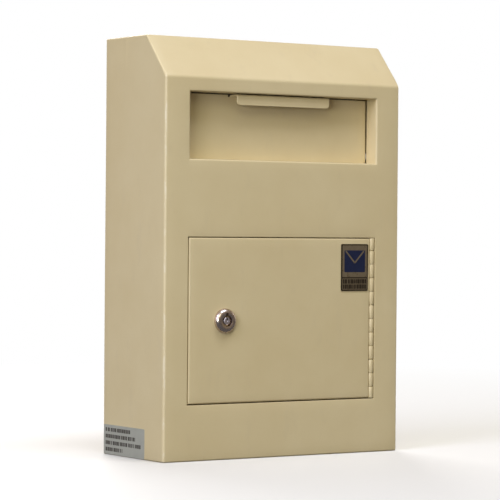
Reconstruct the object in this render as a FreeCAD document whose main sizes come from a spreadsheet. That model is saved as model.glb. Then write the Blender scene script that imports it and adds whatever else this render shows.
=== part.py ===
import FreeCAD, Part
import math
import os
import re
import Sketcher

# Wall-mounted parcel drop box of bent and welded sheet steel, in millimetres.
# X runs to the right, Y from the front to the back, Z up. The origin is under
# the middle of the box's overall outline, lock included, at floor level.
# Depths in this file count from the front face, which lies at front_face.

SIZES = {
    # The case
    "box_width": 258.0,
    "box_depth": 104.5,
    "box_height": 381.0,
    "front_height": 342.9,
    "slope_angle": 41.7,
    "sheet_thick": 1.9,
    "edge_radius": 4.0,
    "hood_seam": 340.4,
    "hood_radius": 5.0,
    "crest_radius": 4.0,
    "foot_radius": 1.5,
    "front_face": -49.75,
    # Wall bolts through the back
    "bolt_spacing": 152.4,
    "bolt_centre": 152.4,
    "bolt_radius": 5.2,
    # The recess around the hopper
    "recess_half": 102.7,
    "recess_bottom": 269.7,
    "recess_top": 330.4,
    "recess_depth": 16.0,
    "recess_radius": 2.5,
    # The doorway in the front
    "doorway_left": -104.4,
    "doorway_right": 101.9,
    "doorway_bottom": 50.0,
    "doorway_top": 200.7,
    # Strips welded behind the doorway
    "strip_thick": 1.5,
    "strip_offset": 0.2,
    "strip_front": 12.5,
    "strip_reach": 6.8,
    "strip_right": 92.0,
    "jamb_depth": 15.0,
    "jamb_foot": 10.0,
    # The access door
    "door_left": -103.3,
    "door_right": 96.0,
    "door_bottom": 51.1,
    "door_top": 199.6,
    "door_depth": 12.0,
    "door_radius": 2.0,
    # The piano hinge
    "hinge_x": 98.95,
    "hinge_depth": 2.2,
    "barrel_radius": 2.8,
    "pin_radius": 1.6,
    "pin_play": 0.05,
    "leaf_thick": 1.2,
    "leaf_depth": 12.8,
    "notch_depth": 5.4,
    "hinge_bottom": 50.8,
    "hinge_top": 199.9,
    "first_joint": 61.3,
    "knuckle_pitch": 12.7,
    "knuckle_gap": 0.3,
    # The tubular lock
    "lock_x": -65.4,
    "lock_z": 125.0,
    "head_radius": 11.1,
    "head_face": 9.0,
    "head_rim": 2.6,
    "lock_proud": 5.0,
    "barrel_round": 9.5,
    "barrel_flats": 16.0,
    "barrel_end": 15.7,
    "keyway_radius": 4.8,
    "post_radius": 3.4,
    "post_inset": 0.4,
    "keyway_floor": 1.0,
    "plug_bore": 6.25,
    "plug_play": 0.05,
    "notch_width": 1.8,
    "notch_rise": 1.5,
    "tumbler_radius": 0.6,
    "tumbler_ring": 4.1,
    "tumbler_reach": 1.5,
    "tumbler_sunk": 6.0,
    "nut_flats": 23.0,
    "nut_thick": 3.5,
    "washer_radius": 9.5,
    "washer_front": 16.1,
    "washer_thick": 0.9,
    "cam_front": 17.1,
    "cam_thick": 1.9,
    "cam_width": 16.0,
    "cam_reach": 38.0,
    "tang_side": 7.5,
    "stud_radius": 3.0,
    "stud_end": 24.0,
    "cam_nut_flats": 10.0,
    "cam_nut_thick": 3.0,
    # The hopper
    "pivot_depth": 21.0,
    "pivot_z": 276.3,
    "hopper_half": 101.8,
    "hopper_thick": 1.5,
    "hopper_bottom": 270.3,
    "hopper_top": 329.6,
    "hopper_radius": 1.2,
    "cheek_radius": 52.8,
    "cheek_heel": 8.0,
    "cheek_end": 48.0,
    "nib_radius": 57.8,
    "nib_start": 41.0,
    "lip_half": 50.8,
    "lip_front": 4.0,
    "lip_bottom": 319.1,
    "lip_radius": 3.0,
    "relief_width": 2.5,
    "relief_drop": 2.0,
    "baffle_half": 100.0,
    "baffle_angle": 35.0,
    "baffle_lift": 3.5,
    "baffle_reach": 70.0,
    "baffle_flange": 18.0,
    # The hopper's pivot
    "rod_radius": 2.5,
    "rod_half": 109.0,
    "bush_radius": 3.6,
    "bush_flange": 4.6,
    "bush_play": 0.05,
    "bush_end": 104.1,
    "bracket_rear": 28.0,
    "bracket_bottom": 264.0,
    "bracket_top": 296.0,
    "clip_radius": 4.8,
    "clip_thick": 0.8,
    "clip_slot": 2.6,
    "stop_half": 90.0,
    "stop_front": 18.0,
    "stop_bottom": 322.1,
    # Plates stuck on the outside
    "badge_left": 62.8,
    "badge_right": 93.3,
    "badge_bottom": 150.9,
    "badge_top": 194.4,
    "badge_thick": 0.8,
    "badge_radius": 1.5,
    "label_front": 32.0,
    "label_rear": 104.0,
    "label_bottom": 0.5,
    "label_top": 27.5,
    "label_thick": 0.15,
}

# Sizes that follow from the driving ones, as expressions in their words
INNER_HALF = "(box_width / 2 - sheet_thick)"
SLOPE_RUN = "((box_height - front_height) * tan(slope_angle * 1 deg))"
KNEE_INSET = "sheet_thick * tan(slope_angle * 0.5 deg)"
CREST_INSET = "sheet_thick * tan((90 - slope_angle) * 0.5 deg)"
RING_HALF = "(recess_half + sheet_thick)"
CAVITY_TOP = "(box_height - sheet_thick)"
BACK_INNER = "(box_depth - sheet_thick)"
KNUCKLES = 12
TUMBLERS = 7
PAST = 1.0  # how far a cutting block runs past the face that it opens

doc = FreeCAD.newDocument("drop_box")
sizes = doc.addObject("Spreadsheet::Sheet", "sizes")
nodes = {}


def fill_sheet():
    for row, (alias, value) in enumerate(SIZES.items(), start=1):
        sizes.set(f"A{row}", alias)
        sizes.set(f"B{row}", str(value))
        sizes.setAlias(f"B{row}", alias)
    doc.recompute()


def bound(text):
    """The same expression, with each alias read from the sheet."""
    def from_sheet(word):
        return "sizes." + word.group() if word.group() in SIZES else word.group()

    return re.sub(r"[a-z][a-z0-9_]*", from_sheet, str(text))


def bind(item, path, text):
    item.setExpression(path, bound(text))


def number(text):
    value = sizes.evalExpression(str(text))
    return float(getattr(value, "Value", value))


def keep(label, item):
    """Takes a finished object as the sub-part of that name."""
    item.Label = label
    nodes[label] = item
    return item


# ---- Primitives and booleans; corners and centres are (across, depth, height) ----

def set_down(item, place):
    across, depth, height = place
    bind(item, "Placement.Base.x", across)
    bind(item, "Placement.Base.y", f"front_face + {depth}")
    bind(item, "Placement.Base.z", height)


def block(name, low, high):
    item = doc.addObject("Part::Box", name)
    for side, start, end in zip(("Length", "Width", "Height"), low, high):
        bind(item, side, f"({end}) - ({start})")
    set_down(item, low)
    return item


TURNS = {
    "x": FreeCAD.Rotation(FreeCAD.Vector(0, 1, 0), 90),
    "y": FreeCAD.Rotation(FreeCAD.Vector(1, 0, 0), -90),
    "z": FreeCAD.Rotation(),
}


def turn_to(item, axis, place):
    item.Placement = FreeCAD.Placement(FreeCAD.Vector(), TURNS[axis])
    set_down(item, place)
    return item


def rod(name, axis, start, length, radius):
    item = doc.addObject("Part::Cylinder", name)
    bind(item, "Radius", radius)
    bind(item, "Height", length)
    return turn_to(item, axis, start)


def cone(name, axis, start, length, radius, end_radius):
    item = doc.addObject("Part::Cone", name)
    bind(item, "Radius1", radius)
    bind(item, "Radius2", end_radius)
    bind(item, "Height", length)
    return turn_to(item, axis, start)


def hexagon(name, axis, start, length, flats):
    item = doc.addObject("Part::Prism", name)
    item.Polygon = 6
    bind(item, "Circumradius", f"{flats} / 2 / cos(30 deg)")
    bind(item, "Height", length)
    return turn_to(item, axis, start)


def fuse(name, pieces):
    item = doc.addObject("Part::MultiFuse", name)
    item.Shapes = pieces
    item.Refine = True
    return item


def cut(name, base, tool):
    item = doc.addObject("Part::Cut", name)
    item.Base = base
    item.Tool = tool
    item.Refine = True
    return item


def common(name, pieces):
    item = doc.addObject("Part::MultiCommon", name)
    item.Shapes = pieces
    item.Refine = True
    return item


def group(name, pieces):
    item = doc.addObject("Part::Compound", name)
    item.Links = pieces
    return item


def edges_within(shape, low, high):
    """Numbers of the edges that lie whole inside a box, given as numbers."""
    found = []
    for index, edge in enumerate(shape.Edges, start=1):
        reach = edge.BoundBox
        starts = (reach.XMin, reach.YMin, reach.ZMin)
        ends = (reach.XMax, reach.YMax, reach.ZMax)
        if all(a >= b for a, b in zip(starts, low)) and all(a <= b for a, b in zip(ends, high)):
            found.append(index)
    return found


def around(low, high, slack=0.05):
    """A box, in numbers, just larger than the one between two corners."""
    front = number("front_face")
    shift = (0.0, front, 0.0)
    low_corner = [number(text) + move - slack for text, move in zip(low, shift)]
    high_corner = [number(text) + move + slack for text, move in zip(high, shift)]
    return low_corner, high_corner


def round_off(name, base, radius, boxes):
    """Rounds the edges of a boolean that lie in any of the boxes."""
    doc.recompute()
    item = doc.addObject("Part::Fillet", name)
    item.Base = base
    chosen = []
    for low, high in boxes:
        chosen += edges_within(base.Shape, *around(low, high))
    item.Edges = [(index, number(radius), number(radius)) for index in sorted(set(chosen))]
    return item


# ---- Bodies made from sketches ----

def body(label):
    item = doc.addObject("PartDesign::Body", label)
    bind(item, "Placement.Base.y", "front_face")
    return item


def sketch(owner, plane, outlines, offset="0"):
    """Closed outlines on one of the body's own planes, each corner bound to the sheet."""
    item = owner.newObject("Sketcher::SketchObject", "outline")
    face = [part for part in owner.Origin.OriginFeatures if part.Role == plane + "_Plane"][0]
    item.AttachmentSupport = [(face, "")]
    item.MapMode = "FlatFace"
    bind(item, "AttachmentOffset.Base.z", offset)
    for outline in outlines:
        draw_outline(item, outline)
    return item


def draw_outline(item, outline):
    corners = [FreeCAD.Vector(number(across), number(up), 0) for across, up in outline]
    first = item.GeometryCount
    count = len(corners)
    for index in range(count):
        item.addGeometry(Part.LineSegment(corners[index], corners[(index + 1) % count]), False)
    for index in range(count):
        item.addConstraint(
            Sketcher.Constraint("Coincident", first + index, 2, first + (index + 1) % count, 1))
    for index, (across, up) in enumerate(outline):
        parts = (("DistanceX", across, corners[index].x), ("DistanceY", up, corners[index].y))
        for kind, text, value in parts:
            place = item.addConstraint(Sketcher.Constraint(kind, -1, 1, first + index, 1, value))
            bind(item, f"Constraints[{place}]", text)


def rectangle(left, bottom, right, top):
    return [(left, bottom), (right, bottom), (right, top), (left, top)]


def extrude(owner, kind, profile, length, both=False, reverse=False):
    """A Pad or a Pocket, which must change the volume of the body."""
    doc.recompute()
    before = owner.Shape.Volume if not owner.Shape.isNull() else 0.0
    item = owner.newObject("PartDesign::" + kind, kind.lower())
    item.Profile = profile
    item.SideType = "Symmetric" if both else "One side"
    item.Reversed = reverse
    bind(item, "Length", length)
    profile.Visibility = False
    doc.recompute()
    change = owner.Shape.Volume - before
    if (kind == "Pad" and change <= 0) or (kind == "Pocket" and change >= 0):
        raise RuntimeError(f"{owner.Label}: this {kind} changes nothing")
    return item


def fillet(owner, radius, boxes):
    doc.recompute()
    base = owner.Tip
    chosen = []
    for low, high in boxes:
        low_corner, high_corner = around(low, high)
        low_corner[1] -= number("front_face")
        high_corner[1] -= number("front_face")
        chosen += edges_within(base.Shape, low_corner, high_corner)
    item = owner.newObject("PartDesign::Fillet", "fillet")
    item.Base = (base, [f"Edge{index}" for index in sorted(set(chosen))])
    bind(item, "Radius", radius)
    doc.recompute()
    return item


def bent_strip(label, plane, outline, length, offset="0", both=False, reverse=False):
    """A strip of sheet with one section all along its length."""
    owner = body(label)
    extrude(owner, "Pad", sketch(owner, plane, [outline], offset), length, both, reverse)
    return keep(label, owner)


# ---- The case ----

def case_wrapper():
    """Front and both sides bent from one sheet, with the recess and the doorway."""
    owner = keep("case_wrapper", body("case_wrapper"))
    outline = [
        ("-box_width / 2", "0"), ("box_width / 2", "0"),
        ("box_width / 2", "box_depth"), (INNER_HALF, "box_depth"),
        (INNER_HALF, "sheet_thick"), ("-" + INNER_HALF, "sheet_thick"),
        ("-" + INNER_HALF, "box_depth"), ("-box_width / 2", "box_depth"),
    ]
    extrude(owner, "Pad", sketch(owner, "XY", [outline]), CAVITY_TOP)
    for side in ("-1", "1"):
        outside = f"{side} * box_width / 2"
        inside = f"{side} * {INNER_HALF}"
        fillet(owner, "edge_radius", [((outside, "0", "0"), (outside, "0", "box_height"))])
        fillet(owner, "edge_radius - sheet_thick",
               [((inside, "sheet_thick", "0"), (inside, "sheet_thick", "box_height"))])
    trim_under_hood(owner)
    ring = rectangle("-" + RING_HALF, "recess_bottom - sheet_thick",
                     RING_HALF, "recess_top + sheet_thick")
    extrude(owner, "Pad", sketch(owner, "XZ", [ring]), "recess_depth", reverse=True)
    opening = rectangle("-recess_half", "recess_bottom", "recess_half", "recess_top")
    extrude(owner, "Pocket", sketch(owner, "XZ", [opening]), f"recess_depth + {PAST}")
    doorway = rectangle("doorway_left", "doorway_bottom", "doorway_right", "doorway_top")
    extrude(owner, "Pocket", sketch(owner, "XZ", [doorway]), f"sheet_thick + {PAST}")
    fillet(owner, "recess_radius",
           [(("-recess_half", "0", "recess_bottom"), ("recess_half", "0", "recess_top"))])
    fillet(owner, "foot_radius", [(("-box_width / 2", "0", "0"), ("box_width / 2", "0", "0"))])


def trim_under_hood(owner):
    """Cuts the sides to the underside of the hood, with a chord under each of its bends."""
    knee = f"(front_height - {KNEE_INSET})"
    crest = f"({SLOPE_RUN} + {CREST_INSET})"
    knee_step = "(hood_radius - sheet_thick) * tan(slope_angle * 0.5 deg)"
    crest_step = "(crest_radius - sheet_thick) * tan((90 - slope_angle) * 0.5 deg)"
    outline = [
        (f"-{PAST}", "hood_seam"),
        ("sheet_thick", "hood_seam"),
        ("sheet_thick", f"{knee} - {knee_step}"),
        (f"sheet_thick + {knee_step} * sin(slope_angle * 1 deg)",
         f"{knee} + {knee_step} * cos(slope_angle * 1 deg)"),
        (f"{crest} - {crest_step} * sin(slope_angle * 1 deg)",
         f"{CAVITY_TOP} - {crest_step} * cos(slope_angle * 1 deg)"),
        (f"{crest} + {crest_step}", CAVITY_TOP),
        (f"{crest} + {crest_step}", f"box_height + {PAST}"),
        (f"-{PAST}", f"box_height + {PAST}"),
    ]
    extrude(owner, "Pocket", sketch(owner, "YZ", [outline]), f"box_width + {PAST}", both=True)


def sloped_hood():
    """The sloping front of the top and the flat behind it, bent from one sheet."""
    outline = [
        ("0", "hood_seam"), ("0", "front_height"), (SLOPE_RUN, "box_height"),
        ("box_depth", "box_height"), ("box_depth", CAVITY_TOP),
        (f"{SLOPE_RUN} + {CREST_INSET}", CAVITY_TOP),
        ("sheet_thick", f"front_height - {KNEE_INSET}"), ("sheet_thick", "hood_seam"),
    ]
    owner = bent_strip("sloped_hood", "YZ", outline, "box_width", both=True)
    half = "box_width / 2"
    knee = f"front_height - {KNEE_INSET}"
    crest = f"{SLOPE_RUN} + {CREST_INSET}"
    fillet(owner, "hood_radius",
           [((f"-{half}", "0", "front_height"), (half, "0", "front_height"))])
    fillet(owner, "hood_radius - sheet_thick",
           [((f"-{half}", "sheet_thick", knee), (half, "sheet_thick", knee))])
    fillet(owner, "crest_radius",
           [((f"-{half}", SLOPE_RUN, "box_height"), (half, SLOPE_RUN, "box_height"))])
    fillet(owner, "crest_radius - sheet_thick",
           [((f"-{half}", crest, CAVITY_TOP), (half, crest, CAVITY_TOP))])


def bottom_panel():
    """The floor, with its front corners rounded to lie inside the bends of the wrapper."""
    plate = block("bottom_blank", ("-" + INNER_HALF, "sheet_thick", "0"),
                  (INNER_HALF, BACK_INNER, "sheet_thick"))
    corners = []
    for across in ("-" + INNER_HALF, INNER_HALF):
        corners.append(((across, "sheet_thick", "0"), (across, "sheet_thick", "sheet_thick")))
    keep("bottom_panel", round_off("bottom_panel", plate, "edge_radius - sheet_thick", corners))


def back_panel():
    plate = block("back_plate", ("-" + INNER_HALF, BACK_INNER, "0"),
                  (INNER_HALF, "box_depth", CAVITY_TOP))
    holes = []
    for across in ("-1", "1"):
        for up in ("-1", "1"):
            start = (f"{across} * bolt_spacing / 2", f"{BACK_INNER} - {PAST}",
                     f"bolt_centre + {up} * bolt_spacing / 2")
            holes.append(rod("bolt_hole", "y", start, f"sheet_thick + 2 * {PAST}", "bolt_radius"))
    keep("back_panel", cut("back_panel", plate, fuse("bolt_holes", holes)))


def door_stops():
    """Three angle strips that the returns of the closed door come up to."""
    rear = "strip_front + strip_thick"
    left = "doorway_left - strip_offset"
    hook = f"{left} - strip_thick + strip_reach"
    outline = [
        (f"{left} - strip_thick", "sheet_thick"), (left, "sheet_thick"), (left, "strip_front"),
        (hook, "strip_front"), (hook, rear), (f"{left} - strip_thick", rear),
    ]
    low_end = "(doorway_bottom - strip_thick + strip_reach)"
    high_end = "(doorway_top + strip_thick - strip_reach)"
    bent_strip("door_stop_left", "XY", outline, f"{high_end} - {low_end}", offset=low_end)
    level_stop("door_stop_top", "doorway_top", "+", "-")
    level_stop("door_stop_bottom", "doorway_bottom", "-", "+")


def level_stop(label, edge, away, back):
    """A strip along the top or bottom of the doorway; the signs point away from it and back."""
    rear = "strip_front + strip_thick"
    leg = f"{edge} {away} strip_offset"
    far = f"{leg} {away} strip_thick"
    hook = f"{far} {back} strip_reach"
    outline = [
        ("sheet_thick", far), ("sheet_thick", leg), ("strip_front", leg),
        ("strip_front", hook), (rear, hook), (rear, far),
    ]
    bent_strip(label, "YZ", outline, "strip_right - doorway_left", offset="doorway_left")


def hinge_jamb():
    """The angle behind the doorway's right edge that carries the hinge."""
    outline = [
        ("doorway_right", "sheet_thick"), ("doorway_right + jamb_foot", "sheet_thick"),
        ("doorway_right + jamb_foot", "sheet_thick + strip_thick"),
        ("doorway_right + strip_thick", "sheet_thick + strip_thick"),
        ("doorway_right + strip_thick", "jamb_depth"), ("doorway_right", "jamb_depth"),
    ]
    bent_strip("hinge_jamb", "XY", outline, "doorway_top - doorway_bottom", offset="doorway_bottom")


# ---- The piano hinge ----

def knuckle_ends(index):
    """Heights of the two ends of one knuckle, counted from the bottom."""
    low = f"first_joint + {index - 1} * knuckle_pitch + knuckle_gap / 2"
    high = f"first_joint + {index} * knuckle_pitch - knuckle_gap / 2"
    if index == 0:
        low = "hinge_bottom"
    if index == KNUCKLES - 1:
        high = "hinge_top"
    return low, high


def hinge_leaf(label, left, right, first):
    """One leaf, whose own knuckles are every second one from the first."""
    pieces = [block("leaf_plate", (left, "hinge_depth", "hinge_bottom"),
                    (right, "leaf_depth", "hinge_top"))]
    cuts = [rod("pin_hole", "z", ("hinge_x", "hinge_depth", f"hinge_bottom - {PAST}"),
                f"hinge_top - hinge_bottom + 2 * {PAST}", "pin_radius + pin_play")]
    for index in range(KNUCKLES):
        low, high = knuckle_ends(index)
        if index % 2 == first:
            start = ("hinge_x", "hinge_depth", low)
            pieces.append(rod("knuckle", "z", start, f"({high}) - ({low})", "barrel_radius"))
        else:
            cuts.append(block(
                "notch", (f"{left} - {PAST}", f"hinge_depth - {PAST}", f"{low} - knuckle_gap"),
                (f"{right} + {PAST}", "notch_depth", f"{high} + knuckle_gap")))
    keep(label, cut(label, fuse("leaf", pieces), fuse("leaf_cuts", cuts)))


def piano_hinge():
    hinge_leaf("hinge_leaf_case", "doorway_right - leaf_thick", "doorway_right", 1)
    hinge_leaf("hinge_leaf_door", "door_right", "door_right + leaf_thick", 0)
    keep("hinge_pin", rod("hinge_pin", "z", ("hinge_x", "hinge_depth", "hinge_bottom"),
                          "hinge_top - hinge_bottom", "pin_radius"))


# ---- The access door ----

def door_panel():
    """A pan of sheet with a return on all four sides and a hole for the lock."""
    owner = body("door_pan")
    outline = rectangle("door_left", "door_bottom", "door_right", "door_top")
    extrude(owner, "Pad", sketch(owner, "XZ", [outline]), "door_depth", reverse=True)
    inside = rectangle("door_left + sheet_thick", "door_bottom + sheet_thick",
                       "door_right - sheet_thick", "door_top - sheet_thick")
    extrude(owner, "Pocket", sketch(owner, "XZ", [inside], offset="-door_depth"),
            "door_depth - sheet_thick", reverse=True)
    fillet(owner, "door_radius", [(("door_left", "0", "door_bottom"), ("door_right", "0", "door_top"))])
    centre = ("lock_x", f"-{PAST}", "lock_z")
    hole = common("lock_hole", [
        rod("lock_hole_round", "y", centre, f"sheet_thick + 2 * {PAST}", "barrel_round"),
        flats_block("lock_hole_flats", f"-{PAST}", f"sheet_thick + {PAST}"),
    ])
    keep("door_panel", cut("door_panel", owner, hole))


def flats_block(name, front, rear):
    """The width across the flats of the lock's barrel."""
    half = "barrel_flats / 2"
    return block(name, (f"lock_x - {half}", front, f"lock_z - 2 * {half}"),
                 (f"lock_x + {half}", rear, f"lock_z + 2 * {half}"))


def badge_plate():
    low = ("badge_left", "-badge_thick", "badge_bottom")
    high = ("badge_right", "0", "badge_top")
    plate = block("badge_blank", low, high)
    corners = []
    for across in ("badge_left", "badge_right"):
        for up in ("badge_bottom", "badge_top"):
            corners.append(((across, "-badge_thick", up), (across, "0", up)))
    keep("badge_plate", round_off("badge_plate", plate, "badge_radius", corners))


# ---- The tubular lock ----

def on_lock(depth):
    return ("lock_x", depth, "lock_z")


def lock_housing():
    """Head, threaded barrel with two flats, keyway with its notch, and bore for the plug."""
    barrel = common("lock_barrel", [
        rod("barrel_round_part", "y", on_lock("0"), "barrel_end", "barrel_round"),
        flats_block("barrel_flat_part", f"-{PAST}", f"barrel_end + {PAST}"),
    ])
    shell = fuse("housing_shell", [
        cone("head_taper", "y", on_lock("-lock_proud"), "lock_proud - head_rim",
             "head_face", "head_radius"),
        rod("head_rim_part", "y", on_lock("-head_rim"), "head_rim", "head_radius"),
        barrel,
    ])
    bores = fuse("housing_bores", [
        rod("keyway", "y", on_lock(f"-lock_proud - {PAST}"),
            f"lock_proud + keyway_floor + 2 * {PAST}", "keyway_radius"),
        rod("plug_bore_part", "y", on_lock("keyway_floor"), "barrel_end", "plug_bore"),
        block("keyway_notch", ("lock_x - notch_width / 2", f"-lock_proud - {PAST}", "lock_z"),
              ("lock_x + notch_width / 2", "keyway_floor", "lock_z + keyway_radius + notch_rise")),
    ])
    keep("lock_housing", cut("lock_housing", shell, bores))


def lock_nut():
    blank = hexagon("lock_nut_blank", "y", on_lock("sheet_thick"), "nut_thick", "nut_flats")
    hole = rod("lock_nut_hole", "y", on_lock("0"), "barrel_end", "barrel_round")
    keep("lock_nut", cut("lock_nut", blank, hole))


def lock_spindle():
    """The post in the keyway, the plug, the square tang and the threaded stud, in one piece."""
    plug_front = "keyway_floor + plug_play"
    solid = fuse("spindle_solid", [
        rod("post", "y", on_lock("-lock_proud + post_inset"), "lock_proud + keyway_floor",
            "post_radius"),
        rod("plug", "y", on_lock(plug_front), f"barrel_end + plug_play - ({plug_front})",
            "plug_bore - plug_play"),
        tang_block("tang", "barrel_end", "cam_front + cam_thick"),
        rod("stud", "y", on_lock("barrel_end"), "stud_end - barrel_end", "stud_radius"),
    ])
    holes = []
    pins = []
    for index in range(TUMBLERS):
        holes.append(tumbler("tumbler_hole", index, "keyway_floor", "tumbler_sunk"))
        pins.append(tumbler("tumbler", index, "keyway_floor - tumbler_reach",
                            "tumbler_reach + tumbler_sunk"))
    keep("lock_spindle", cut("lock_spindle", solid, fuse("tumbler_holes", holes)))
    keep("lock_pins", group("lock_pins", pins))


def tumbler(name, index, front, length):
    """One of the pins in a ring about the post, with the first one off the notch by half a step."""
    turn = f"({index + 0.5} * 360 / {TUMBLERS}) * 1 deg"
    centre = (f"lock_x + tumbler_ring * sin({turn})", front,
              f"lock_z + tumbler_ring * cos({turn})")
    return rod(name, "y", centre, length, "tumbler_radius")


def tang_block(name, front, rear):
    half = "tang_side / 2"
    return block(name, (f"lock_x - {half}", front, f"lock_z - {half}"),
                 (f"lock_x + {half}", rear, f"lock_z + {half}"))


def lock_tail():
    """Stop washer, cam and nut on the tang; the cam hangs down, clear of the strips."""
    disc = rod("washer_disc", "y", on_lock("washer_front"), "washer_thick", "washer_radius")
    keep("lock_washer", cut("lock_washer", disc, tang_block("washer_hole", "barrel_end", "cam_front")))
    half = "cam_width / 2"
    arm = fuse("cam_arm", [
        rod("cam_root", "y", on_lock("cam_front"), "cam_thick", half),
        block("cam_blade", (f"lock_x - {half}", "cam_front", "lock_z - cam_reach"),
              (f"lock_x + {half}", "cam_front + cam_thick", "lock_z")),
    ])
    keep("lock_cam", cut("lock_cam", arm, tang_block("cam_hole", "barrel_end", "stud_end")))
    nut = hexagon("cam_nut_blank", "y", on_lock("cam_front + cam_thick"),
                  "cam_nut_thick", "cam_nut_flats")
    nut_hole = rod("cam_nut_hole", "y", on_lock("barrel_end"), "stud_end", "stud_radius")
    keep("cam_nut", cut("cam_nut", nut, nut_hole))


# ---- The hopper ----

def by_pivot(depth, height):
    return (f"pivot_depth + {depth}", f"pivot_z + {height}")


def at_angle(angle, radius):
    """A place by its angle back from straight up about the pivot."""
    return by_pivot(f"{radius} * sin({angle} * 1 deg)", f"{radius} * cos({angle} * 1 deg)")


def full_rod(name, radius):
    return rod(name, "x", ("-hopper_half", "pivot_depth", "pivot_z"), "2 * hopper_half", radius)


def side_prism(name, outline):
    """A side outline carried across the whole width of the hopper."""
    owner = body(name)
    extrude(owner, "Pad", sketch(owner, "YZ", [outline]), "2 * hopper_half", both=True)
    return owner


def hopper_door():
    """Front panel with bent cheeks, which end in a nib, and a folded pull lip."""
    face = "recess_depth"
    rear = "(recess_depth + hopper_thick)"
    cheek_outline = [
        (face, "hopper_bottom"), (face, "pivot_z + nib_radius"),
        at_angle("0", "2 * nib_radius"), at_angle("cheek_end", "2 * nib_radius"),
        at_angle("cheek_end", "nib_radius"), by_pivot("cheek_heel", "(hopper_bottom - pivot_z)"),
    ]
    nib_outline = [by_pivot("0", "0"), at_angle("nib_start", "2 * nib_radius"),
                   at_angle("cheek_end", "2 * nib_radius")]
    nib = common("nib", [side_prism("nib_wedge", nib_outline), full_rod("nib_round", "nib_radius")])
    fan = fuse("cheek_fan", [full_rod("cheek_round", "cheek_radius"), nib])
    cheeks = common("cheeks_solid", [side_prism("cheek_side", cheek_outline), fan])
    inner_half = "(hopper_half - hopper_thick)"
    hollow = block("cheeks_hollow", ("-" + inner_half, rear, f"hopper_bottom - {PAST}"),
                   (inner_half, BACK_INNER, "box_height"))
    panel = block("hopper_panel", ("-hopper_half", face, "hopper_bottom"),
                  ("hopper_half", rear, "hopper_top"))
    lip = [
        block("lip_top", ("-lip_half", "lip_front", "hopper_top - hopper_thick"),
              ("lip_half", rear, "hopper_top")),
        block("lip_drop", ("-lip_half", "lip_front", "lip_bottom"),
              ("lip_half", "lip_front + hopper_thick", "hopper_top")),
    ]
    solid = fuse("hopper_solid", [cut("cheeks", cheeks, hollow), panel] + lip)
    cuts = [rod("bush_hole", "x", (f"-hopper_half - {PAST}", "pivot_depth", "pivot_z"),
                f"2 * hopper_half + 2 * {PAST}", "bush_radius")]
    for left in ("-lip_half - relief_width", "lip_half"):
        cuts.append(block("lip_relief", (left, f"{face} - {PAST}", "hopper_top - relief_drop"),
                          (f"{left} + relief_width", f"{rear} + {PAST}", f"hopper_top + {PAST}")))
    blank = cut("hopper_blank", solid, fuse("hopper_cuts", cuts))
    rounded = round_off("hopper_rounded", blank, "hopper_radius", [
        (("-hopper_half", face, "hopper_bottom"), ("-hopper_half", face, "hopper_top")),
        (("hopper_half", face, "hopper_bottom"), ("hopper_half", face, "hopper_top")),
        (("-lip_half", "lip_front", "hopper_top"), ("lip_half", "lip_front", "hopper_top")),
    ])
    tips = []
    for across in ("-lip_half", "lip_half"):
        tips.append(((across, "lip_front", "lip_bottom"),
                     (across, "lip_front + hopper_thick", "lip_bottom")))
    keep("hopper_door", round_off("hopper_door", rounded, "lip_radius", tips))


def hopper_baffle():
    """The floor of the hopper: a flange up the back of the door, and a slope down over the rod."""
    slope_cos = "cos(baffle_angle * 1 deg)"
    slope_sin = "sin(baffle_angle * 1 deg)"

    def on_slope(along, lift):
        return by_pivot(f"({along}) * {slope_cos} + ({lift}) * {slope_sin}",
                        f"({lift}) * {slope_cos} - ({along}) * {slope_sin}")

    def at_depth(depth, lift):
        along = f"(({depth}) - ({lift}) * {slope_sin}) / {slope_cos}"
        return by_pivot(depth, f"({lift}) * {slope_cos} - {along} * {slope_sin}")

    back = "(recess_depth + hopper_thick - pivot_depth)"
    over = "baffle_lift + hopper_thick"
    outline = [
        by_pivot(back, "baffle_flange"), at_depth(back, "baffle_lift"),
        on_slope("baffle_reach", "baffle_lift"), on_slope("baffle_reach", over),
        at_depth(f"({back} + hopper_thick)", over), by_pivot(f"{back} + hopper_thick", "baffle_flange"),
    ]
    bent_strip("hopper_baffle", "YZ", outline, "2 * baffle_half", both=True)


def hopper_stop():
    """The angle on top of the recess that the closed hopper comes up to."""
    rear = "stop_front + strip_thick"
    roof = "recess_top + sheet_thick"
    outline = [
        ("sheet_thick", roof), ("sheet_thick", f"{roof} + strip_thick"),
        (rear, f"{roof} + strip_thick"), (rear, "stop_bottom"),
        ("stop_front", "stop_bottom"), ("stop_front", roof),
    ]
    bent_strip("hopper_stop", "YZ", outline, "2 * stop_half", both=True)


def pivot_parts():
    """The fixed rod with its brackets and clips, and the bushes that turn on it."""
    outer = f"({RING_HALF} + sheet_thick)"
    bracket("hopper_bracket_left", "-" + outer)
    bracket("hopper_bracket_right", RING_HALF)
    keep("rod_clips", group("rod_clips", [rod_clip(f"-{outer} - clip_thick"), rod_clip(outer)]))
    bushes = [
        pivot_bush("-hopper_half", "-bush_end"),
        pivot_bush("hopper_half - hopper_thick", "hopper_half"),
    ]
    keep("pivot_bushes", group("pivot_bushes", bushes))
    keep("pivot_rod", rod("pivot_rod", "x", ("-rod_half", "pivot_depth", "pivot_z"),
                          "2 * rod_half", "rod_radius"))


def bracket(label, start):
    """A plate on the side of the recess that holds one end of the rod."""
    plate = block("bracket_plate", (start, "sheet_thick", "bracket_bottom"),
                  (f"{start} + sheet_thick", "bracket_rear", "bracket_top"))
    hole = rod("bracket_hole", "x", (f"{start} - {PAST}", "pivot_depth", "pivot_z"),
               f"sheet_thick + 2 * {PAST}", "rod_radius")
    keep(label, cut(label, plate, hole))


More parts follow.
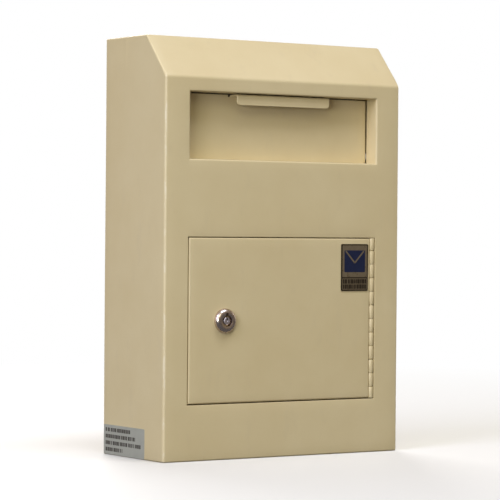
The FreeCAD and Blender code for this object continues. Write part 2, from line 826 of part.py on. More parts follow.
def rod_clip(start):
    """A snap ring on the rod, open downwards."""
    disc = rod("clip_disc", "x", (start, "pivot_depth", "pivot_z"), "clip_thick", "clip_radius")
    bore = rod("clip_bore", "x", (f"{start} - {PAST}", "pivot_depth", "pivot_z"),
               f"clip_thick + 2 * {PAST}", "rod_radius")
    slot = block("clip_slot_part",
                 (f"{start} - {PAST}", "pivot_depth - clip_slot / 2", "pivot_z - 2 * clip_radius"),
                 (f"{start} + clip_thick + {PAST}", "pivot_depth + clip_slot / 2", "pivot_z"))
    return cut("clip", disc, fuse("clip_cuts", [bore, slot]))


def pivot_bush(sleeve_start, flange_start):
    """A flanged nylon bush in the cheek's hole, its flange towards the bracket."""
    solid = fuse("bush_solid", [
        rod("bush_sleeve", "x", (sleeve_start, "pivot_depth", "pivot_z"), "hopper_thick",
            "bush_radius"),
        rod("bush_flange_part", "x", (flange_start, "pivot_depth", "pivot_z"),
            "bush_end - hopper_half", "bush_flange"),
    ])
    bore = rod("bush_bore", "x", ("-rod_half", "pivot_depth", "pivot_z"), "2 * rod_half",
               "rod_radius + bush_play")
    return cut("bush", solid, bore)


def side_label():
    """The rating sticker low on the left side."""
    sticker = block("side_label", ("-box_width / 2 - label_thick", "label_front", "label_bottom"),
                    ("-box_width / 2", "label_rear", "label_top"))
    keep("side_label", sticker)


def check_and_export():
    doc.recompute()
    for item in doc.Objects:
        if "Invalid" in item.State or "Error" in item.State:
            raise RuntimeError(f"{item.Name} ({item.Label}) failed: {item.State}")
    os.makedirs("parts", exist_ok=True)
    for label, item in nodes.items():
        shape = item.Shape
        if shape.isNull() or not shape.isValid() or not shape.Solids:
            raise RuntimeError(f"{label} is not a sound solid")
        shape.exportStep(f"parts/{label}.step")
        reach = shape.BoundBox
        print(f"{label}: {len(shape.Solids)} solid(s), {math.ceil(shape.Volume)} mm3, "
              f"x {reach.XMin:.1f} to {reach.XMax:.1f}, y {reach.YMin:.1f} to {reach.YMax:.1f}, "
              f"z {reach.ZMin:.1f} to {reach.ZMax:.1f}")


fill_sheet()
case_wrapper()
sloped_hood()
bottom_panel()
back_panel()
door_stops()
hinge_jamb()
piano_hinge()
door_panel()
badge_plate()
lock_housing()
lock_nut()
lock_spindle()
lock_tail()
hopper_door()
hopper_baffle()
hopper_stop()
pivot_parts()
side_label()
check_and_export()
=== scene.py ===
import math
import random

import bmesh
import bpy
from mathutils import Matrix, Vector, noise


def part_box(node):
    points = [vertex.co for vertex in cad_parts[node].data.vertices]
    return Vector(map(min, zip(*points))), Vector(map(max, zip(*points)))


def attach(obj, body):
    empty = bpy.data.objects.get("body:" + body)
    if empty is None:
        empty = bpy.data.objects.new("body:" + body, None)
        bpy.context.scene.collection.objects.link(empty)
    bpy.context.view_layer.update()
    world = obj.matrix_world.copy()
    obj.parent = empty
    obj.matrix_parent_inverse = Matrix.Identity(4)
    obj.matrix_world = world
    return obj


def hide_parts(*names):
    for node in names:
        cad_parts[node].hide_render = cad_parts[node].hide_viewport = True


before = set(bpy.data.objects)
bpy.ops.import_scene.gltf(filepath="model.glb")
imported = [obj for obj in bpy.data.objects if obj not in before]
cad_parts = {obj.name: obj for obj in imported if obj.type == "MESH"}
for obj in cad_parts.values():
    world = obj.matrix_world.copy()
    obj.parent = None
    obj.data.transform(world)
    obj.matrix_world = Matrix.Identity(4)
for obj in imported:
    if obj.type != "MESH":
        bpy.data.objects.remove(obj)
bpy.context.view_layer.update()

# A wall-mounted parcel drop box: steel sheet with a cream enamel, in metres.
# X runs to the right, Y from the front to the back, Z up. Depths count from the front face.

MM = 0.001

hood_low, hood_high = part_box("sloped_hood")
door_low, door_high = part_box("door_panel")
hopper_low, hopper_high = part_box("hopper_door")
rod_low, rod_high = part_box("pivot_rod")
lock_low, lock_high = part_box("lock_housing")
badge_low, badge_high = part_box("badge_plate")
label_low, label_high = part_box("side_label")
bottom_low, bottom_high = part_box("bottom_panel")

HALF = hood_high.x
FRONT = hood_low.y
REAR = hood_high.y
SHEET = bottom_high.z - bottom_low.z
BEND = 2.4 * MM  # outer radius of the case's upright edges
SLOPE = math.radians(41.7)
SEAM = hood_low.z
KNEE = SEAM + 2.5 * MM
TOP = hood_high.z
SLOPE_RUN = (TOP - KNEE) * math.tan(SLOPE)
RECESS = 16.0 * MM  # how far the closed hopper's face lies behind the front
HAIR = 0.02 * MM  # half the width of a column that keeps a sharp change sharp


# ---------------------------------------------------------------- outlines and meshes

class Path:
    """A line in a plane with rounded corners, followed by its length.

    at() gives the normal on the right of the way that the line runs.
    """

    def __init__(self, corners, radii):
        self.spans = []
        self.length = 0.0
        corners = [Vector(corner) for corner in corners]
        here = corners[0]
        for index in range(1, len(corners)):
            corner = corners[index]
            way = (corner - corners[index - 1]).normalized()
            if index == len(corners) - 1 or radii[index] == 0:
                self.add_line(here, corner, way)
                here = corner
                continue
            onward = (corners[index + 1] - corner).normalized()
            turn = way.angle_signed(onward)
            radius = radii[index]
            tangent = radius * math.tan(abs(turn) / 2)
            self.add_line(here, corner - way * tangent, way)
            self.add_arc(corner - way * tangent, way, turn, radius)
            here = corner + onward * tangent

    def add_line(self, start, end, way):
        length = (end - start).length
        if length > 1e-9:
            self.spans.append((self.length, length, start, way, 0.0, 0.0))
            self.length += length

    def add_arc(self, start, way, turn, radius):
        length = radius * abs(turn)
        self.spans.append((self.length, length, start, way, turn, radius))
        self.length += length

    def at(self, along):
        """The point that far along, and the normal there."""
        span = self.spans[0]
        for candidate in self.spans:
            if along >= candidate[0] - 1e-9:
                span = candidate
        begin, _length, start, way, turn, radius = span
        step = along - begin
        out = Vector((way.y, -way.x))
        if radius == 0.0:
            point = start + way * step
        else:
            side = 1.0 if turn > 0 else -1.0
            centre = start + out * radius * side
            angle = -side * step / radius
            spin = Matrix.Rotation(angle, 2)
            point = centre + spin @ (start - centre)
            out = spin @ out
        return point, out

    def stops(self, step, arc_parts=6):
        """Places along it: every bend in even parts, and the straight runs at about one step."""
        places = [0.0]
        for begin, length, _start, _way, _turn, radius in self.spans:
            parts = arc_parts if radius else max(1, round(length / step))
            places += [begin + length * part / parts for part in range(1, parts + 1)]
        return places


def clamp(value):
    return min(1.0, max(0.0, value))


def spread(breaks, step):
    """Values through all the breaks, with about one step between them."""
    breaks = sorted(breaks)
    values = [breaks[0]]
    for start, end in zip(breaks, breaks[1:]):
        parts = max(1, round((end - start) / step))
        values += [start + (end - start) * part / parts for part in range(1, parts + 1)]
    return values


def ring_keys(left, bottom, right, top):
    """Grid places round a rectangle, anticlockwise, each with its side."""
    keys = [(i, bottom, "bottom") for i in range(left, right)]
    keys += [(right, j, "right") for j in range(bottom, top)]
    keys += [(i, top, "top") for i in range(right, left, -1)]
    keys += [(left, j, "left") for j in range(top, bottom, -1)]
    return keys


def grid(mesh, us, vs, place, holes=()):
    """A sheet of quads over two lists of values, without the cells inside the holes."""
    spans = []
    for left, bottom, right, top in holes:
        spans.append(tuple(nearest(values, value) for values, value in
                           ((us, left), (vs, bottom), (us, right), (vs, top))))
    made = {}

    def vertex(i, j):
        if (i, j) not in made:
            made[(i, j)] = mesh.verts.new(place(us[i], vs[j]))
        return made[(i, j)]

    for i in range(len(us) - 1):
        for j in range(len(vs) - 1):
            if any(a <= i < c and b <= j < d for a, b, c, d in spans):
                continue
            corners = ((i, j), (i + 1, j), (i + 1, j + 1), (i, j + 1))
            mesh.faces.new([vertex(*corner) for corner in corners])
    return made, spans


def nearest(values, value):
    return min(range(len(values)), key=lambda index: abs(values[index] - value))


def bridge(mesh, first, second, closed=True):
    """Faces between two rows of as many vertices each."""
    count = len(first)
    for index in range(count if closed else count - 1):
        after = (index + 1) % count
        corners = (first[index], first[after], second[after], second[index])
        if len(set(corners)) >= 3:
            mesh.faces.new(list(dict.fromkeys(corners)))


def close_edge(mesh, outer, inner, keys, us, vs, place, steps):
    """Joins the two faces of a sheet along a rectangle of grid places, by way of steps.

    Each step is (insets by side, depths by side).
    """
    loop = [outer[i, j] for i, j, _side in keys]
    left = min(us[i] for i, _j, _side in keys)
    right = max(us[i] for i, _j, _side in keys)
    bottom = min(vs[j] for _i, j, _side in keys)
    top = max(vs[j] for _i, j, _side in keys)
    for insets, depths in steps:
        fresh = []
        for i, j, side in keys:
            across = (us[i] - left) / (right - left)
            up = (vs[j] - bottom) / (top - bottom)
            u = left + insets["left"] + across * (right - left - insets["left"] - insets["right"])
            v = bottom + insets["bottom"] + up * (top - bottom - insets["bottom"] - insets["top"])
            fresh.append(mesh.verts.new(place(u, v, depths[side])))
        bridge(mesh, loop, fresh)
        loop = fresh
    bridge(mesh, loop, [inner[i, j] for i, j, _side in keys])


def all_sides(value):
    return {"left": value, "bottom": value, "right": value, "top": value}


def round_steps(radius, parts=5, sign=1.0):
    """Steps round a quarter bend, inwards for a hole (1) or outwards for an outer edge (-1)."""
    radii = radius if isinstance(radius, dict) else all_sides(radius)
    steps = []
    for part in range(1, parts + 1):
        angle = math.pi / 2 * part / parts
        insets = {side: sign * value * math.sin(angle) for side, value in radii.items()}
        depths = {side: value * (1 - math.cos(angle)) for side, value in radii.items()}
        steps.append((insets, depths))
    return steps


def loft(mesh, rings):
    """Joins rings of as many places each, and closes both ends."""
    made = [[mesh.verts.new(place) for place in ring] for ring in rings]
    for first, second in zip(made, made[1:]):
        bridge(mesh, first, second)
    mesh.faces.new(made[0])
    mesh.faces.new(made[-1])


def wave(place, size, height):
    """A slow swell of the sheet, as pressed and welded sheet has."""
    return height * noise.noise(place / size)


def piece(name, mesh, material, body, nodes, crease=35.0):
    """Ends a mesh as a named piece that rides on a body and stands for CAD nodes.

    Edges sharper than crease, in degrees, stay sharp. The faces are turned outwards.
    """
    bmesh.ops.dissolve_degenerate(mesh, dist=0.002 * MM, edges=mesh.edges[:])
    bmesh.ops.recalc_face_normals(mesh, faces=mesh.faces[:])
    if mesh.calc_volume(signed=True) < 0:
        bmesh.ops.reverse_faces(mesh, faces=mesh.faces[:])
    data = bpy.data.meshes.new(name)
    mesh.to_mesh(data)
    mesh.free()
    for polygon in data.polygons:
        polygon.use_smooth = True
    data.set_sharp_from_angle(angle=math.radians(crease))
    made = bpy.data.objects.new(name, data)
    bpy.context.scene.collection.objects.link(made)
    data.materials.append(material)
    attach(made, body)
    if nodes:
        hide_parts(*nodes)


# ---------------------------------------------------------------- materials

GRAIN_DEPTH = 0.02 * MM  # depth of the marks in metal and print


def new_material(name):
    """A material with its node tree and its shader."""
    material = bpy.data.materials.new(name)
    material.use_nodes = True
    tree = material.node_tree
    shader = tree.nodes["Principled BSDF"]
    return material, tree, shader


def add(tree, kind, **sockets):
    """A shader node with numbers or colours on its sockets, "_" standing for a space."""
    node = tree.nodes.new("ShaderNode" + kind)
    for name, value in sockets.items():
        node.inputs[name.replace("_", " ")].default_value = value
    return node


def speckle(tree, scale, detail, roughness, stretch=(1, 1, 1)):
    """Noise over the object's own coordinates, stretched as asked."""
    place = tree.nodes.new("ShaderNodeTexCoord")
    shape = tree.nodes.new("ShaderNodeMapping")
    shape.inputs["Scale"].default_value = stretch
    dots = add(tree, "TexNoise", Scale=scale, Detail=detail, Roughness=roughness)
    tree.links.new(place.outputs["Object"], shape.inputs["Vector"])
    tree.links.new(shape.outputs["Vector"], dots.inputs["Vector"])
    return dots.outputs["Fac"]


def ramp(tree, source, low, high, first, second):
    """Maps a value between two limits onto two colours."""
    node = tree.nodes.new("ShaderNodeValToRGB")
    node.color_ramp.elements[0].position = low
    node.color_ramp.elements[1].position = high
    node.color_ramp.elements[0].color = (*first, 1)
    node.color_ramp.elements[1].color = (*second, 1)
    tree.links.new(source, node.inputs["Fac"])
    return node.outputs["Color"]


def span(tree, source, low, high, out_low, out_high):
    """Maps a value between two limits onto two others."""
    node = add(tree, "MapRange", From_Min=low, From_Max=high, To_Min=out_low, To_Max=out_high)
    tree.links.new(source, node.inputs["Value"])
    return node.outputs["Result"]


def mix(tree, factor, first, second):
    """Blends the second colour over the first. Each value may be a socket."""
    node = tree.nodes.new("ShaderNodeMix")
    node.data_type = "RGBA"
    for name, value in (("Factor", factor), ("A", first), ("B", second)):
        socket = node.inputs[name]
        if isinstance(value, (int, float)):
            socket.default_value = value
        elif isinstance(value, tuple):
            socket.default_value = (*value, 1)
        else:
            tree.links.new(value, socket)
    return node.outputs["Result"]


def bump(tree, shader, layers):
    """Adds up bumps of (height source, distance in metres, strength)."""
    last = None
    for source, distance, strength in layers:
        node = add(tree, "Bump", Distance=distance, Strength=strength)
        tree.links.new(source, node.inputs["Height"])
        if last is not None:
            tree.links.new(last, node.inputs["Normal"])
        last = node.outputs["Normal"]
    tree.links.new(last, shader.inputs["Normal"])


def math_node(tree, operation, first, second):
    """One operation on two values, each a number or a socket."""
    node = tree.nodes.new("ShaderNodeMath")
    node.operation = operation
    for socket, value in zip(node.inputs, (first, second)):
        if isinstance(value, (int, float)):
            socket.default_value = value
        else:
            tree.links.new(value, socket)
    return node.outputs["Value"]


def corner_wear(tree):
    """Patches along the two upright front corners, where the enamel is rubbed and chipped."""
    place = tree.nodes.new("ShaderNodeTexCoord")
    parts = tree.nodes.new("ShaderNodeSeparateXYZ")
    tree.links.new(place.outputs["Object"], parts.inputs["Vector"])
    from_middle = math_node(tree, "ABSOLUTE", parts.outputs["X"], 0.0)
    from_side = math_node(tree, "SUBTRACT", HALF, from_middle)
    from_front = math_node(tree, "SUBTRACT", parts.outputs["Y"], FRONT)
    away = math_node(tree, "MAXIMUM", from_side, from_front)
    near = span(tree, away, 1.0 * MM, 2.2 * MM, 1.0, 0.0)
    spots = speckle(tree, scale=170.0, detail=3.0, roughness=0.6, stretch=(1, 1, 0.45))
    chips = span(tree, spots, 0.51, 0.58, 0.0, 1.0)
    return math_node(tree, "MULTIPLY", near, chips)


def enamel():
    """Cream baked enamel with a light orange peel, faint mottling, dust and rubbed places."""
    material, tree, shader = new_material("cream_enamel")
    base = (0.668, 0.552, 0.322)
    paler = (0.708, 0.597, 0.366)
    greyer = (0.588, 0.492, 0.324)
    speck = (0.36, 0.295, 0.21)
    chipped = (0.80, 0.72, 0.55)
    grime_share, speck_share, chip_share = 0.30, 0.22, 0.55
    mottle = speckle(tree, scale=14.0, detail=5.0, roughness=0.6)
    colour = ramp(tree, mottle, 0.32, 0.70, base, paler)
    grime = speckle(tree, scale=60.0, detail=6.0, roughness=0.65, stretch=(1, 1, 0.35))
    colour = mix(tree, span(tree, grime, 0.56, 0.78, 0.0, grime_share), colour, greyer)
    specks = speckle(tree, scale=900.0, detail=2.0, roughness=0.5)
    colour = mix(tree, span(tree, specks, 0.70, 0.78, 0.0, speck_share), colour, speck)
    worn = math_node(tree, "MULTIPLY", corner_wear(tree), chip_share)
    colour = mix(tree, worn, colour, chipped)
    tree.links.new(colour, shader.inputs["Base Color"])
    gloss = speckle(tree, scale=35.0, detail=5.0, roughness=0.6)
    tree.links.new(span(tree, gloss, 0.3, 0.7, 0.34, 0.46), shader.inputs["Roughness"])
    shader.inputs["Specular IOR Level"].default_value = 0.45
    shader.inputs["Coat Weight"].default_value = 0.22
    shader.inputs["Coat Roughness"].default_value = 0.40
    peel = speckle(tree, scale=520.0, detail=2.0, roughness=0.45)
    swell = speckle(tree, scale=42.0, detail=2.0, roughness=0.4)
    bump(tree, shader, [(swell, 0.9 * MM, 0.16), (peel, 0.16 * MM, 0.30)])
    return material


def metal(name, colour, rough, scale):
    """Bare or plated metal with fine marks and broader stains."""
    material, tree, shader = new_material(name)
    shader.inputs["Metallic"].default_value = 1.0
    marks = speckle(tree, scale, detail=4.0, roughness=0.6)
    dull = tuple(part * 0.80 for part in colour)
    tree.links.new(ramp(tree, marks, 0.35, 0.65, dull, colour), shader.inputs["Base Color"])
    stains = speckle(tree, scale / 8, detail=3.0, roughness=0.6)
    gloss = span(tree, stains, 0.3, 0.7, rough * 0.75, rough * 1.35)
    tree.links.new(gloss, shader.inputs["Roughness"])
    bump(tree, shader, [(marks, GRAIN_DEPTH, 0.5)])
    return material


def dull_print(name, colour, rough, gloss=0.4, grain=260.0, change=0.12):
    """Ink, the hopper stop's near-black painted shade, nylon or foil: one colour with a little
    unevenness.
    """
    material, tree, shader = new_material(name)
    spots = speckle(tree, grain, detail=4.0, roughness=0.6)
    darker = tuple(part * (1 - change) for part in colour)
    lighter = tuple(min(1.0, part * (1 + change)) for part in colour)
    tree.links.new(ramp(tree, spots, 0.3, 0.7, darker, lighter), shader.inputs["Base Color"])
    uneven = span(tree, spots, 0.3, 0.7, rough * 0.85, rough * 1.15)
    tree.links.new(uneven, shader.inputs["Roughness"])
    shader.inputs["Specular IOR Level"].default_value = gloss
    bump(tree, shader, [(spots, GRAIN_DEPTH, 0.3)])
    return material


CREAM = enamel()
ZINC = metal("zinc_plate", (0.62, 0.61, 0.57), rough=0.34, scale=700.0)
CHROME = metal("lock_chrome", (0.66, 0.56, 0.525), rough=0.25, scale=900.0)
POST = metal("lock_post_steel", (0.66, 0.60, 0.64), rough=0.50, scale=900.0)
BRASS = metal("pin_brass", (0.62, 0.47, 0.22), rough=0.25, scale=900.0)
# Painted shade: the hopper stop is near black so that the gap above the closed hopper reads as a
# dark shaded line.
STOP_SHADE = dull_print("stop_painted_shade", (0.095, 0.078, 0.055), rough=0.6, gloss=0.3)
NYLON = dull_print("white_nylon", (0.55, 0.53, 0.47), rough=0.5)
BADGE_FIELD = dull_print("badge_field", (0.150, 0.115, 0.072), rough=0.30, gloss=0.5)
BADGE_DARK = dull_print("badge_dark", (0.022, 0.014, 0.007), rough=0.40, gloss=0.35)
BADGE_BLUE = dull_print("badge_blue", (0.010, 0.016, 0.052), rough=0.36, gloss=0.35)
FOIL = dull_print("label_foil", (0.395, 0.400, 0.350), rough=0.40, gloss=0.6,
                  grain=120.0, change=0.06)
INK = dull_print("label_ink", (0.075, 0.068, 0.058), rough=0.5, gloss=0.3)


# ---------------------------------------------------------------- the case

def under_hood(depth):
    """Height of the hood's underside, by depth behind the front face."""
    if depth < SHEET:
        return SEAM
    knee = KNEE - SHEET * math.tan(SLOPE / 2)
    return min(knee + (depth - SHEET) / math.tan(SLOPE), TOP - SHEET)


def case_wrapper():
    """Front and sides in one bent sheet, with the recess turned in and the doorway cut out."""
    leaf_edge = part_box("hinge_leaf_case")[1].x
    gap, top_gap = 1.1 * MM, 0.7 * MM  # round the door
    cut_round = 0.45 * MM
    doorway = (door_low.x - gap - cut_round, door_low.z - gap - cut_round,
               leaf_edge + cut_round, door_high.z + top_gap + cut_round)
    turn_in = {"left": 2.4 * MM, "bottom": 1.7 * MM, "right": 1.7 * MM, "top": 1.25 * MM}
    side_gap, lower_gap, upper_gap = 0.7 * MM, 0.6 * MM, 0.4 * MM  # round the hopper
    recess = (hopper_low.x - side_gap - turn_in["left"],
              hopper_low.z - lower_gap - turn_in["bottom"],
              hopper_high.x + side_gap + turn_in["right"],
              hopper_high.z + upper_gap + turn_in["top"])
    wrap = Path([(-HALF, REAR), (-HALF, FRONT), (HALF, FRONT), (HALF, REAR)], [0, BEND, BEND, 0])
    middle = wrap.length / 2
    flat = HALF - BEND
    foot = 1.5 * MM
    shift_row = recess[3] + 2 * MM  # rows above it rise with the slope at the sides
    swell_size, swell_height = 0.11, 0.22 * MM
    still, fade = 8 * MM, 12 * MM  # no swell beside a bend, then more and more
    foot_fade = 20 * MM
    cell = 9 * MM

    def place(u, v, depth=0.0):
        outer, out = wrap.at(u + middle)
        z = v
        if v > shift_row:
            top = under_hood(outer.y - FRONT)
            z = shift_row + (v - shift_row) * (top - shift_row) / (SEAM - shift_row)
        spot = Vector((outer.x, outer.y, z))
        on_front = abs(outer.y - FRONT) < 1e-6
        swell = 0.0
        if on_front or abs(u) > flat + still:
            swell = wave(spot, swell_size, swell_height)
        calm = clamp((abs(u) - flat - still) / fade) if abs(u) > flat else 1.0
        inner = outer - out * (depth + swell * calm * edge_calm(u, v))
        return Vector((inner.x, inner.y, z))

    def edge_calm(u, v):
        """No swell next to the openings and edges, so that the gaps stay even."""
        if abs(u) > flat:
            return clamp(v / foot_fade)
        away = [v, SEAM - v, flat - abs(u)]
        for left, bottom, right, top in (doorway, recess):
            beside = max(left - u, u - right, bottom - v, v - top)
            away.append(beside)
        return clamp(min(away) / fade)

    corner_turn = BEND * math.acos(1 - SHEET / BEND)
    arc_end = flat + BEND * math.pi / 2
    rear_round = 0.3 * MM
    past_crest = 1.0 * MM
    columns = [-middle + rear_round, middle - rear_round]
    columns += [doorway[0], doorway[2], recess[0], recess[2]]
    for side in (-1, 1):
        columns += [side * (flat + BEND * math.pi / 2 * part / 6) for part in range(7)]
        columns += [side * (flat + corner_turn - HAIR), side * (flat + corner_turn + HAIR)]
        columns += [side * (arc_end + SLOPE_RUN - BEND + past_crest)]
    us = spread(columns, cell)
    vs = spread([foot, doorway[1], doorway[3], recess[1], recess[3], shift_row, SEAM], cell)
    mesh = bmesh.new()
    outer, spans = grid(mesh, us, vs, place, (doorway, recess))
    inner_us = [-middle] + us[1:-1] + [middle]
    inner_vs = [0.0] + vs[1:]
    inner, _spans = grid(mesh, inner_us, inner_vs, lambda u, v: place(u, v, SHEET),
                         (doorway, recess))

    doorway_keys, recess_keys = (ring_keys(*hole) for hole in spans)
    lip_round = 0.2 * MM
    steps = round_steps(cut_round) + [(all_sides(cut_round), all_sides(SHEET - lip_round))]
    close_edge(mesh, outer, inner, doorway_keys, us, vs, place, steps)

    thinnest = 0.05 * MM
    down, up = (6, 10, 14, 15.8), (15.8, 9, 2.6)  # rows of the return, in millimetres

    def less(amount):
        """Insets behind the return, which is thinner than the sheet where its bend is tight."""
        return {side: max(thinnest, value - amount) for side, value in turn_in.items()}

    steps = round_steps(turn_in, 6)
    steps += [(turn_in, all_sides(depth * MM)) for depth in down]
    steps += [(less(lip_round), all_sides(RECESS)), (less(SHEET - lip_round), all_sides(RECESS))]
    steps += [(less(SHEET), all_sides(depth * MM)) for depth in up]
    close_edge(mesh, outer, inner, recess_keys, us, vs, place, steps)

    keys = ring_keys(0, 0, len(us) - 1, len(vs) - 1)
    radii = {"left": rear_round, "right": rear_round, "bottom": foot, "top": 0.0}
    close_edge(mesh, outer, inner, keys, us, vs, place, round_steps(radii, 5, -1.0))

    # The rim under the hood isn't rounded, so its steps lie in one line. They are merged, because
    # slivers along it would spoil the shading of the sides.
    past_bend, near, apart = 4 * MM, 0.03 * MM, 0.09 * MM
    rim = [vert for vert in mesh.verts
           if abs(vert.co.x) > HALF - rear_round and vert.co.y > FRONT + past_bend
           and abs(vert.co.z - under_hood(vert.co.y - FRONT)) < near]
    bmesh.ops.remove_doubles(mesh, verts=rim, dist=apart)
    piece("case_wrapper_shell", mesh, CREAM, "case", ["case_wrapper"])


def sloped_hood():
    """Slope and flat of the top in one bent sheet, its side edges welded, ground and rounded."""
    knee_bend, crest_bend = 5 * MM, 4 * MM
    path = Path([(FRONT, SEAM), (FRONT, KNEE), (FRONT + SLOPE_RUN, TOP), (REAR, TOP)],
                [0, knee_bend, crest_bend, 0])
    parts, across = 5, 26
    swell_size, swell_height, fade = 0.09, 0.15 * MM, 14 * MM
    swell_start, swell_end = 12 * MM, path.length - 8 * MM

    def edge_radius(along):
        """The case's bend at the seam, then the ground edge, never quite even."""
        blend = clamp((along - 1.5 * MM) / (7 * MM))
        blend = blend * blend * (3 - 2 * blend)
        ground = 1.3 * MM + 0.25 * MM * noise.noise(Vector((along / 0.012, 0.5, 0.5)))
        return BEND * (1 - blend) + ground * blend

    def section(along):
        """Places round the sheet, each (x, depth)."""
        radius = edge_radius(along)
        stop = math.acos(max(0.0, (radius - SHEET) / radius)) if radius > SHEET else math.pi / 2
        flat = HALF - radius
        top = [(flat * (-1 + 2 * part / across), 0.0) for part in range(across + 1)]
        angles = [stop * part / parts for part in range(1, parts + 1)]
        right = [(flat + radius * math.sin(angle), radius * (1 - math.cos(angle)))
                 for angle in angles]
        edge = flat + radius * math.sin(stop)
        under = [(edge * (1 - 2 * part / across), SHEET) for part in range(across + 1)]
        left = [(-x, depth) for x, depth in reversed(right)]
        return top + right + under + left

    mesh = bmesh.new()
    rings = []
    for along in path.stops(8 * MM, 8):
        point, normal = path.at(along)
        inward = Vector((0, normal.x, normal.y))
        ring = []
        for x, depth in section(along):
            spot = Vector((x, point.x, point.y))
            inside = swell_start < along < swell_end
            swell = wave(spot, swell_size, swell_height) if inside else 0.0
            ring.append(spot + inward * (depth + swell * clamp((HALF - abs(x)) / fade)))
        rings.append(ring)
    loft(mesh, rings)
    piece("sloped_hood_shell", mesh, CREAM, "case", ["sloped_hood"])


# ---------------------------------------------------------------- the access door

def door_panel():
    """A pan with rounded edges and a return on all four sides.

    The lock's head covers the place where the lock goes through, so no hole is cut.
    """
    radius = 1.4 * MM
    pan, return_round = door_high.y - FRONT, 0.2 * MM
    cell, fade = 7 * MM, 25 * MM
    swell_size, swell_height = 0.08, 0.20 * MM
    elsewhere = Vector((3, 0, 0))  # in the noise, so that the door's swell isn't the case's
    left, right = door_low.x + radius, door_high.x - radius
    bottom, top = door_low.z + radius, door_high.z - radius

    def place(u, v, depth=0.0):
        spot = Vector((u, FRONT, v))
        near_edge = min(u - left, right - u, v - bottom, top - v)
        calm = clamp(near_edge / fade)
        swell = calm * wave(spot + elsewhere, swell_size, swell_height)
        return spot + Vector((0, depth + swell, 0))

    mesh = bmesh.new()
    us = spread([left, right], cell)
    vs = spread([bottom, top], cell)
    outer, _spans = grid(mesh, us, vs, place)
    inner, _spans = grid(mesh, us, vs, lambda u, v: place(u, v, SHEET))
    keys = ring_keys(0, 0, len(us) - 1, len(vs) - 1)
    half_way = 6 * MM
    steps = round_steps(radius, 6, -1.0)
    for inset, depth in ((0.0, half_way), (0.0, pan - return_round), (return_round, pan),
                         (SHEET, pan), (SHEET, half_way), (SHEET, SHEET + 0.6 * MM)):
        steps.append((all_sides(inset - radius), all_sides(depth)))
    close_edge(mesh, outer, inner, keys, us, vs, place, steps)
    piece("door_panel_shell", mesh, CREAM, "door", ["door_panel"])


# ---------------------------------------------------------------- the piano hinge

def hinge_leaf(name, body, left, right, first):
    """One leaf with every second knuckle, rolled, painted and slightly rounded at its ends."""
    low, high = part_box(name)
    pin_low, pin_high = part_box("hinge_pin")
    axis = Vector(((pin_low.x + pin_high.x) / 2, (pin_low.y + pin_high.y) / 2, 0))
    barrel = axis.y - low.y
    bore = (pin_high.x - pin_low.x) / 2 + 0.05 * MM
    first_joint, pitch, knuckles = 61.3 * MM, 12.7 * MM, 12
    gaps = (0.4 * MM, 0.7 * MM)  # at every second joint
    tongue_start, tongue_end = axis.y + 0.9 * MM, FRONT + 5.4 * MM
    ease = 0.35 * MM
    mesh = bmesh.new()

    def strip(front, back, bottom, top):
        corners = [(left, front), (right, front), (right, back), (left, back)]
        loft(mesh, [[Vector((x, y, z)) for x, y in corners] for z in (bottom, top)])

    strip(tongue_end, high.y, low.z, high.z)
    for index in range(first, knuckles, 2):
        bottom = first_joint + (index - 1) * pitch + gaps[index % 2] / 2
        top = first_joint + index * pitch - gaps[(index + 1) % 2] / 2
        if index == 0:
            bottom = low.z
        if index == knuckles - 1:
            top = high.z
        nick = ease * 0.3
        outline = [(bore, bottom), (barrel - ease, bottom), (barrel - nick, bottom + nick),
                   (barrel, bottom + ease), (barrel, top - ease), (barrel - nick, top - nick),
                   (barrel - ease, top), (bore, top)]
        turned(mesh, axis, outline, 40, None, Vector((0, 1, 0)), Vector((0, 0, 1)))
        strip(tongue_start, tongue_end, bottom, top)
    piece(name + "_rolled", mesh, CREAM, body, [name], 40.0)


def piano_hinge():
    """Both leaves, side by side between the door's edge and the jamb."""
    thick = 1.2 * MM
    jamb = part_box("hinge_leaf_case")[1].x
    hinge_leaf("hinge_leaf_case", "case", jamb - thick, jamb, 1)
    hinge_leaf("hinge_leaf_door", "door", door_high.x, door_high.x + thick, 0)


# ---------------------------------------------------------------- the hopper

PIVOT = Vector((0, (rod_low.y + rod_high.y) / 2, (rod_low.z + rod_high.z) / 2))


